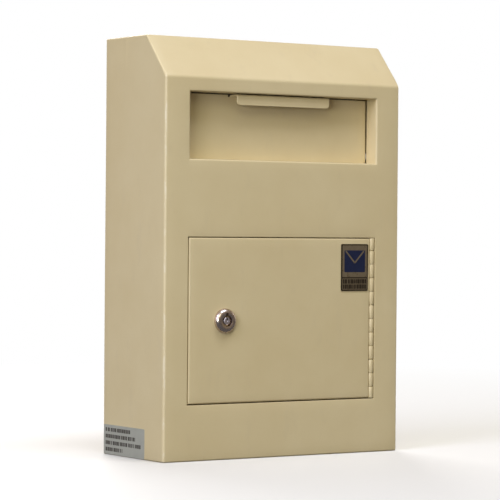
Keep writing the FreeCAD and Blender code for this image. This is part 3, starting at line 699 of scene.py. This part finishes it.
def hopper_door():
    """Front panel and both cheeks in one bent sheet, with the folded pull lip."""
    thick = 1.5 * MM
    radius = 1.2 * MM
    half = hopper_high.x
    face = FRONT + RECESS
    bottom, top = hopper_low.z, hopper_high.z - 0.7 * MM
    lip_top = hopper_high.z - 0.5 * MM
    relief_outer, relief_inner = 53.3 * MM, 50.8 * MM  # half widths of the cuts beside the lip
    relief_drop = 2.0 * MM
    cell, fade = 7 * MM, 20 * MM
    swell_size, swell_height = 0.07, 0.18 * MM
    noise_row = 0.4  # where in the noise the hopper's swell is taken from
    flat = half - radius
    bend = radius * math.pi / 2
    behind = face + 20 * MM
    wrap = Path([(-half, behind), (-half, face), (half, face), (half, behind)],
                [0, radius, radius, 0])
    middle = wrap.length / 2

    def place(u, v, depth=0.0):
        outer, out = wrap.at(u + middle)
        height = top if abs(u) > relief_outer - HAIR else top - relief_drop
        z = bottom + (v - bottom) * (height - bottom) / (top - bottom)
        calm = clamp((flat - abs(u)) / fade)
        swell = calm * wave(Vector((outer.x, noise_row, z)), swell_size, swell_height)
        inner = outer - out * (depth + swell)
        return Vector((inner.x, inner.y, z))

    mesh = bmesh.new()
    end = flat + bend
    columns = [-end, end]
    for side in (-1, 1):
        columns += [side * (flat + bend * part / 5) for part in range(5)]
        columns += [side * relief_outer, side * (relief_outer - HAIR * 2)]
    us = spread(columns, cell)
    vs = spread([bottom, top], cell)
    outer, _spans = grid(mesh, us, vs, place)
    inner, _spans = grid(mesh, us, vs, lambda u, v: place(u, v, thick))
    across, rows = range(len(us)), range(len(vs))
    for j in (rows[0], rows[-1]):
        bridge(mesh, [outer[i, j] for i in across], [inner[i, j] for i in across], False)
    for i, side in ((across[0], -1.0), (across[-1], 1.0)):
        add_cheek(mesh, [outer[i, j] for j in rows], [inner[i, j] for j in rows], side, thick)
    pull_lip(mesh, relief_inner, face, lip_top, thick)
    piece("hopper_door_shell", mesh, CREAM, "hopper", ["hopper_door"])


def add_cheek(mesh, outer_edge, inner_edge, side, thick):
    """The quadrant at one end, which carries on from the bend, with the nib that stops it."""
    arc, nib, heel = 52.8 * MM, 57.8 * MM, 8.0 * MM
    nib_start, end, clear = math.radians(41), math.radians(48), math.radians(1.0)
    start = math.asin((outer_edge[-1].co.y - PIVOT.y) / arc) + clear
    spots = [(arc, start + (nib_start - start) * part / 16) for part in range(17)]
    spots += [(nib, nib_start + (end - nib_start) * part / 4) for part in range(5)]
    outline = [(PIVOT.y + radius * math.sin(angle), PIVOT.z + radius * math.cos(angle))
               for radius, angle in spots]
    outline.append((PIVOT.y + heel, hopper_low.z))
    x = side * hopper_high.x
    outside = [mesh.verts.new((x, y, z)) for y, z in outline]
    inside = [mesh.verts.new((x - side * thick, y, z)) for y, z in outline]
    mesh.faces.new(outer_edge + outside)
    mesh.faces.new(inner_edge + inside)
    bridge(mesh, [outer_edge[-1]] + outside + [outer_edge[0]],
           [inner_edge[-1]] + inside + [inner_edge[0]], False)


def pull_lip(mesh, half, face, top, thick):
    """A tab folded forward from the top edge and down again, with rounded lower corners."""
    front, back = FRONT + 4.0 * MM, face + thick
    low, tuck = 319.6 * MM, 5 * MM
    back_bend, front_bend = 1.9 * MM, 2.2 * MM
    corner, rounding = 3.0 * MM, 0.35 * MM
    path = Path([(back, top - tuck), (back, top), (front, top), (front, low)],
                [0, back_bend, front_bend, 0])
    straight = path.length - corner
    stops = [stop for stop in path.stops(4 * MM, 6) if stop < straight - 0.5 * MM]
    stops += [path.length - corner * (1 - math.sin(math.pi / 2 * part / 7)) for part in range(8)]
    rings = []
    for along in stops:
        point, normal = path.at(along)
        outward = Vector((0, normal.x, normal.y))
        left_over = min(corner, path.length - along)
        wide = half - corner + math.sqrt(max(0.0, corner ** 2 - (corner - left_over) ** 2))
        outline = [(wide - rounding, 0), (wide, rounding),
                   (wide, thick - rounding), (wide - rounding, thick)]
        outline += [(-x, depth) for x, depth in reversed(outline)]
        rings.append([Vector((x, point.x, point.y)) - outward * depth for x, depth in outline])
    loft(mesh, rings)


# ---------------------------------------------------------------- the lock

def turned(mesh, centre, profile, parts, adjust=None, up=Vector((0, 0, 1)),
           along=Vector((0, 1, 0))):
    """A closed outline of (radius, place along the axis) turned about an axis.

    The axis is the lock's unless told. adjust may move a place (x, z) of a given radius and depth.
    """
    side = Vector((1, 0, 0))
    rings = []
    for part in range(parts):
        angle = 2 * math.pi * part / parts
        ring = []
        for radius, depth in profile:
            x, z = radius * math.sin(angle), radius * math.cos(angle)
            if adjust:
                x, z = adjust(x, z, radius, depth)
            ring.append(mesh.verts.new(centre + side * x + up * z + along * depth))
        rings.append(ring)
    for index in range(parts):
        bridge(mesh, rings[index], rings[(index + 1) % parts])


def thread(radius, start, end, pitch, cut):
    """Points of a fine thread seen in section."""
    count = round((end - start) / pitch)
    points = []
    for turn in range(count):
        begin = start + (end - start) * turn / count
        points += [(radius - cut, begin), (radius, begin + pitch * 0.35),
                   (radius, begin + pitch * 0.6)]
    return points + [(radius - cut, end)]


LOCK = Vector(((lock_low.x + lock_high.x) / 2, FRONT, (lock_low.z + lock_high.z) / 2))
PROUD = FRONT - lock_low.y
BARREL_END = lock_high.y - FRONT


def lock_housing():
    """Chromed head with a domed skirt and an annular keyway, on a threaded barrel with flats."""
    rim = (lock_high.x - lock_low.x) / 2
    face = 7.7 * MM
    keyway, floor = 5.0 * MM, 1.0 * MM
    keyway_edge = 0.5 * MM
    bore = 6.25 * MM
    barrel = 9.5 * MM
    flats = 8.0 * MM
    notch_rise, notch_half = 2.2 * MM, 1.2 * MM
    skirt, skirt_parts = 1.1 * MM, 12
    cut, pitch, chamfer = 0.45 * MM, 1.0 * MM, 0.9 * MM
    outline = [(keyway, floor), (keyway, -PROUD + keyway_edge),
               (keyway + keyway_edge * 0.3, -PROUD + keyway_edge * 0.3),
               (keyway + keyway_edge, -PROUD), (face, -PROUD)]
    for part in range(1, skirt_parts + 1):
        angle = math.pi / 2 * part / skirt_parts
        outline.append((face + (rim - face) * math.sin(angle) ** 1.15,
                        -PROUD + (PROUD - skirt) * (1 - math.cos(angle)) ** 0.9))
    outline += [(rim, -0.35 * MM), (rim - 0.3 * MM, 0.0), (barrel + 0.3 * MM, 0.0),
                (barrel - cut, 0.3 * MM)]
    outline += thread(barrel, 2.2 * MM, BARREL_END - 0.6 * MM, pitch, cut)
    outline += [(barrel - chamfer, BARREL_END), (bore, BARREL_END), (bore, floor)]

    def adjust(x, z, radius, depth):
        if depth > 0.05 * MM and radius > bore + 0.1 * MM:
            return max(-flats, min(flats, x)), z
        near_notch = z > 0 and abs(x) <= notch_half and depth < floor - 0.01 * MM
        if near_notch and radius < keyway + 0.6 * MM:
            return x, keyway + notch_rise
        return x, z

    mesh = bmesh.new()
    turned(mesh, LOCK, outline, 144, adjust)
    piece("lock_housing_turned", mesh, CHROME, "door", ["lock_housing"], 28.0)


def lock_spindle():
    """Centre post with its index slot, plug, square tang and threaded stud."""
    post, plug = 3.2 * MM, 6.2 * MM
    plug_front = 1.05 * MM
    stud, stud_end = 3.0 * MM, 24.0 * MM
    tang_end = 19.0 * MM
    side = 3.75 * MM
    centre = 0.001 * MM
    post_face, post_edge = -PROUD + 0.45 * MM, 0.35 * MM
    dimple, dimple_depth = 0.6 * MM, 0.3 * MM
    plug_edge, plug_end = 0.2 * MM, BARREL_END + 0.05 * MM
    slot_half, slot_floor, slot_depth = 0.95 * MM, 0.9 * MM, plug_front - 1 * MM
    cut, pitch, chamfer = 0.35 * MM, 0.8 * MM, 0.9 * MM
    outline = [(centre, post_face + dimple_depth), (dimple, post_face + dimple_depth),
               (0.8 * MM, post_face), (post - post_edge, post_face),
               (post, post_face + post_edge), (post, plug_front - 1.1 * MM), (post, plug_front),
               (plug - plug_edge, plug_front), (plug, plug_front + plug_edge),
               (plug, plug_end), (centre, plug_end)]

    def adjust(x, z, radius, depth):
        in_slot = z > 0 and abs(x) < slot_half and depth < slot_depth
        if in_slot and radius > 1.0 * MM:
            return x, slot_floor
        return x, z

    mesh = bmesh.new()
    turned(mesh, LOCK, outline, 144, adjust)
    tang = [(-side, -side), (side, -side), (side, side), (-side, side)]
    loft(mesh, [[LOCK + Vector((x, depth, z)) for x, z in tang]
                for depth in (BARREL_END, tang_end)])
    rod = [(centre, BARREL_END), (stud - 0.3 * MM, BARREL_END)]
    rod += thread(stud, tang_end + 0.2 * MM, stud_end - 0.5 * MM, pitch, cut)
    rod += [(stud - chamfer, stud_end), (centre, stud_end)]
    turned(mesh, LOCK, rod, 48)
    piece("lock_spindle_turned", mesh, POST, "lock_core", ["lock_spindle"], 28.0)


# ---------------------------------------------------------------- badge and sticker

def slab(mesh, corners, low, high, to_place):
    """A flat plate over an outline, between two heights above its backing."""
    loft(mesh, [[to_place(a, b, height) for a, b in corners] for height in (low, high)])


def rounded(left, bottom, right, top, radius):
    """Outline of a rectangle with rounded corners."""
    parts = 5
    outline = []
    corners = ((right - radius, top - radius), (left + radius, top - radius),
               (left + radius, bottom + radius), (right - radius, bottom + radius))
    for quarter, (x, z) in enumerate(corners):
        for part in range(parts + 1):
            angle = math.radians(90 * quarter + 90 * part / parts)
            outline.append((x + radius * math.cos(angle), z + radius * math.sin(angle)))
    return outline


def on_door(x, z, height):
    return Vector((x, FRONT - height, z))


def badge():
    """A printed plate with a plain envelope sign and two rows of bars in place of words."""
    left, right = badge_low.x, badge_high.x
    bottom, top = badge_low.z, badge_high.z
    thick = FRONT - badge_low.y
    border = 1.2 * MM
    band = (top - bottom) * 0.28
    mesh = bmesh.new()
    slab(mesh, rounded(left, bottom, right, top, 1.2 * MM), 0.0, thick - 0.1 * MM, on_door)
    piece("badge_backing", mesh, BADGE_DARK, "door", ["badge_plate"])
    mesh = bmesh.new()
    upper = (left + border, bottom + band + border / 2, right - border, top - border)
    lower = (left + border, bottom + border, right - border, bottom + band - border / 2)
    field_low, field_high = thick - 0.15 * MM, thick - 0.06 * MM
    for area in (upper, lower):
        slab(mesh, rounded(*area, 0.5 * MM), field_low, field_high, on_door)
    piece("badge_field", mesh, BADGE_FIELD, "door", ())
    envelope_sign(upper, thick)
    badge_bars(lower, thick)


def envelope_sign(area, thick):
    """A plain envelope with its flap drawn as two lines."""
    left, bottom, right, top = area
    across = right - left
    half = across * 0.42
    tall = across * 0.36
    middle = Vector(((left + right) / 2, (bottom + top) / 2))
    line = 1.5 * MM
    low, high = thick - 0.1 * MM, thick + 0.02 * MM
    mesh = bmesh.new()
    outline = rounded(middle.x - half, middle.y - tall, middle.x + half, middle.y + tall,
                      1.0 * MM)
    slab(mesh, outline, low, high, on_door)
    piece("badge_envelope", mesh, BADGE_BLUE, "door", ())
    mesh = bmesh.new()
    shoulder = tall - line * 0.4
    flap = [Vector(spot) for spot in
            ((-half + line, shoulder), (0.0, -tall * 0.15), (half - line, shoulder))]
    for start, stop in zip(flap, flap[1:]):
        way = (stop - start).normalized() * line * 0.5
        side = Vector((-way.y, way.x))
        ends = [middle + end for end in (start - side, stop - side, stop + side, start + side)]
        slab(mesh, ends, low, high + 0.03 * MM, on_door)
    piece("badge_flap", mesh, BADGE_FIELD, "door", ())


def bars(mesh, left, right, rows, height, seed, low, high, to_place,
         spaces=(0.5, 0.6, 0.6, 1.6)):
    """Rows of short bars of uneven length, in place of print.

    Each row is (height of its foot, share of the width), and spaces are in millimetres.
    """
    draw = random.Random(seed)
    for z, share in rows:
        x = left
        end = left + (right - left) * share
        while x < end - 0.8 * MM:
            wide = draw.uniform(1.2, 3.2) * MM
            stop = min(x + wide, end)
            corners = [(x, z), (stop, z), (stop, z + height), (x, z + height)]
            slab(mesh, corners, low, high, to_place)
            x = stop + draw.choice(spaces) * MM


def badge_bars(area, thick):
    """Two rows of bars on the badge's lower field."""
    left, bottom, right, top = area
    tall = (top - bottom) * 0.40
    gap = (top - bottom - 2 * tall) / 3
    rows = [(bottom + 2 * gap + tall, 1.0), (bottom + gap, 1.0)]
    mesh = bmesh.new()
    bars(mesh, left + gap, right - gap, rows, tall, 4, thick - 0.1 * MM, thick - 0.03 * MM,
         on_door, (0.35, 0.4, 0.45, 0.8))
    piece("badge_bars", mesh, BADGE_DARK, "door", ())


def sticker():
    """A foil sticker on the left side with four rows of bars."""
    proud = label_high.x - label_low.x
    side = -HALF
    front, back = label_low.y, label_high.y
    bottom, top = label_low.z, label_high.z

    def on_side(along, z, height):
        return Vector((side - height, back - along, z))

    mesh = bmesh.new()
    slab(mesh, rounded(0.0, bottom, back - front, top, 1.0 * MM), 0.0, proud - 0.02 * MM, on_side)
    piece("side_label_foil", mesh, FOIL, "case", ["side_label"])
    mesh = bmesh.new()
    margin, tall = 3.5 * MM, 3.5 * MM
    first, step = top - 6.2 * MM, 6.0 * MM
    shares = (0.68, 0.80, 0.95, 0.46)
    rows = [(first - step * row, share) for row, share in enumerate(shares)]
    bars(mesh, margin, back - front - 3 * MM, rows, tall, 11, proud - 0.05 * MM, proud, on_side)
    piece("side_label_bars", mesh, INK, "case", ())


# ---------------------------------------------------------------- CAD nodes that stay

KEPT = (
    (CREAM, ("bottom_panel", "back_panel", "door_stop_left", "door_stop_top", "door_stop_bottom",
             "hinge_jamb", "hinge_pin", "hopper_bracket_left", "hopper_bracket_right",
             "hopper_baffle")),
    # Painted shade: the near-black stop darkens the gap line above the hopper.
    (STOP_SHADE, ("hopper_stop",)),
    (ZINC, ("pivot_rod", "rod_clips", "lock_nut", "lock_washer", "lock_cam", "cam_nut")),
    (BRASS, ("lock_pins",)),
    (NYLON, ("pivot_bushes",)),
)


def dress_kept_nodes():
    """Gives each CAD node that stays its material."""
    for material, names in KEPT:
        for name in names:
            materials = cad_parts[name].data.materials
            materials.clear()
            materials.append(material)


# ---------------------------------------------------------------- floor, light, camera

BACKDROP = (1.0, 1.0, 1.0)
FLOOR = (0.84, 0.84, 0.83)
DIM = (0.12, 0.12, 0.12)
SKY = (1.0, 0.82, 0.56)
FADE_START, FADE_END = 0.22, 1.5


def by_camera(tree, unseen, seen, output):
    """Sends one shader to the camera and another to every other ray."""
    path = tree.nodes.new("ShaderNodeLightPath")
    blend = tree.nodes.new("ShaderNodeMixShader")
    tree.links.new(path.outputs["Is Camera Ray"], blend.inputs["Fac"])
    tree.links.new(unseen, blend.inputs[1])
    tree.links.new(seen, blend.inputs[2])
    tree.links.new(blend.outputs["Shader"], tree.nodes[output].inputs["Surface"])


def pale_floor():
    """A pale floor that fades into the backdrop away from the object.

    Only the camera sees it pale: it throws little light up, as the dark shelf in the photo does.
    """
    material, tree, shader = new_material("stage_floor")
    shader.inputs["Base Color"].default_value = (*FLOOR, 1)
    shader.inputs["Roughness"].default_value = 0.6
    glow = add(tree, "Emission", Color=(*BACKDROP, 1), Strength=1.0)
    place = tree.nodes.new("ShaderNodeTexCoord")
    length = tree.nodes.new("ShaderNodeVectorMath")
    length.operation = "LENGTH"
    tree.links.new(place.outputs["Object"], length.inputs[0])
    fade = span(tree, length.outputs["Value"], FADE_START, FADE_END, 0.0, 1.0)
    blend = tree.nodes.new("ShaderNodeMixShader")
    tree.links.new(fade, blend.inputs["Fac"])
    tree.links.new(shader.outputs["BSDF"], blend.inputs[1])
    tree.links.new(glow.outputs["Emission"], blend.inputs[2])
    dim = add(tree, "BsdfDiffuse", Color=(*DIM, 1))
    by_camera(tree, dim.outputs["BSDF"], blend.outputs["Shader"], "Material Output")
    mesh = bmesh.new()
    reach = 60.0
    grid(mesh, [-reach, reach], [-reach, reach], lambda u, v: Vector((u, v, 0.0)))
    data = bpy.data.meshes.new("floor")
    mesh.to_mesh(data)
    mesh.free()
    data.materials.append(material)
    floor = bpy.data.objects.new("floor", data)
    bpy.context.scene.collection.objects.link(floor)


def backdrop():
    """White to the camera, and a dim warm sky to everything else."""
    world = bpy.data.worlds.new("studio")
    bpy.context.scene.world = world
    world.use_nodes = True
    tree = world.node_tree
    seen = tree.nodes["Background"]
    seen.inputs["Color"].default_value = (*BACKDROP, 1)
    seen.inputs["Strength"].default_value = 1.0
    light = add(tree, "Background", Color=(*SKY, 1), Strength=0.28)
    by_camera(tree, light.outputs["Background"], seen.outputs["Background"], "World Output")


def soft_box(name, place, size, power, colour):
    """A rectangular area light that looks at the box's middle."""
    aim = Vector((0.0, 0.0, 0.2))
    light = bpy.data.lights.new(name, "AREA")
    light.shape = "RECTANGLE"
    light.size, light.size_y = size
    light.energy = power
    light.color = colour
    made = bpy.data.objects.new(name, light)
    bpy.context.scene.collection.objects.link(made)
    made.location = place
    made.rotation_mode = "QUATERNION"
    made.rotation_quaternion = (aim - Vector(place)).to_track_quat("-Z", "Y")


def lights():
    """One high in front, three on the left, and two for the sides that face away."""
    neutral = (1.0, 0.99, 0.98)
    soft_box("overhead", (0.28, -1.60, 3.85), (2.4, 1.4), power=85.0, colour=(0.88, 0.915, 1.0))
    soft_box("window", (-3.53, -1.15, 2.17), (1.8, 2.4), power=93.0, colour=(0.72, 0.75, 1.0))
    soft_box("left", (-3.44, -2.41, 0.35), (1.6, 1.2), power=60.0, colour=(0.97, 1.0, 0.98))
    soft_box("front_left", (-2.00, -2.85, 2.55), (1.8, 1.8), power=27.0, colour=(1.0, 1.0, 0.72))
    soft_box("behind", (1.2, 4.0, 2.2), (2.4, 2.0), power=90.0, colour=neutral)
    soft_box("right", (4.0, 0.6, 1.2), (1.6, 2.0), power=45.0, colour=neutral)


def camera():
    """Stands at the left of the box, a little above its middle, and looks level."""
    data = bpy.data.cameras.new("camera")
    data.sensor_width, data.lens = 36.0, 173.08
    made = bpy.data.objects.new("camera", data)
    bpy.context.scene.collection.objects.link(made)
    yaw, pitch, roll = math.radians(33.589), math.radians(-0.436), math.radians(0.468)
    level = math.cos(pitch)
    ahead = Vector((math.sin(yaw) * level, math.cos(yaw) * level, math.sin(pitch)))
    right = Vector((math.cos(yaw), -math.sin(yaw), 0))
    up = right.cross(ahead)
    right, up = (right * math.cos(roll) + up * math.sin(roll),
                 up * math.cos(roll) - right * math.sin(roll))
    made.rotation_mode = "QUATERNION"
    made.rotation_quaternion = Matrix((right, up, -ahead)).transposed().to_quaternion()
    made.location = (-1.24027, FRONT - 1.80950, 0.20515)
    bpy.context.scene.camera = made


case_wrapper()
sloped_hood()
door_panel()
piano_hinge()
hopper_door()
lock_housing()
lock_spindle()
badge()
sticker()
dress_kept_nodes()
pale_floor()
backdrop()
lights()
camera()
bpy.context.scene.view_settings.view_transform = "Standard"
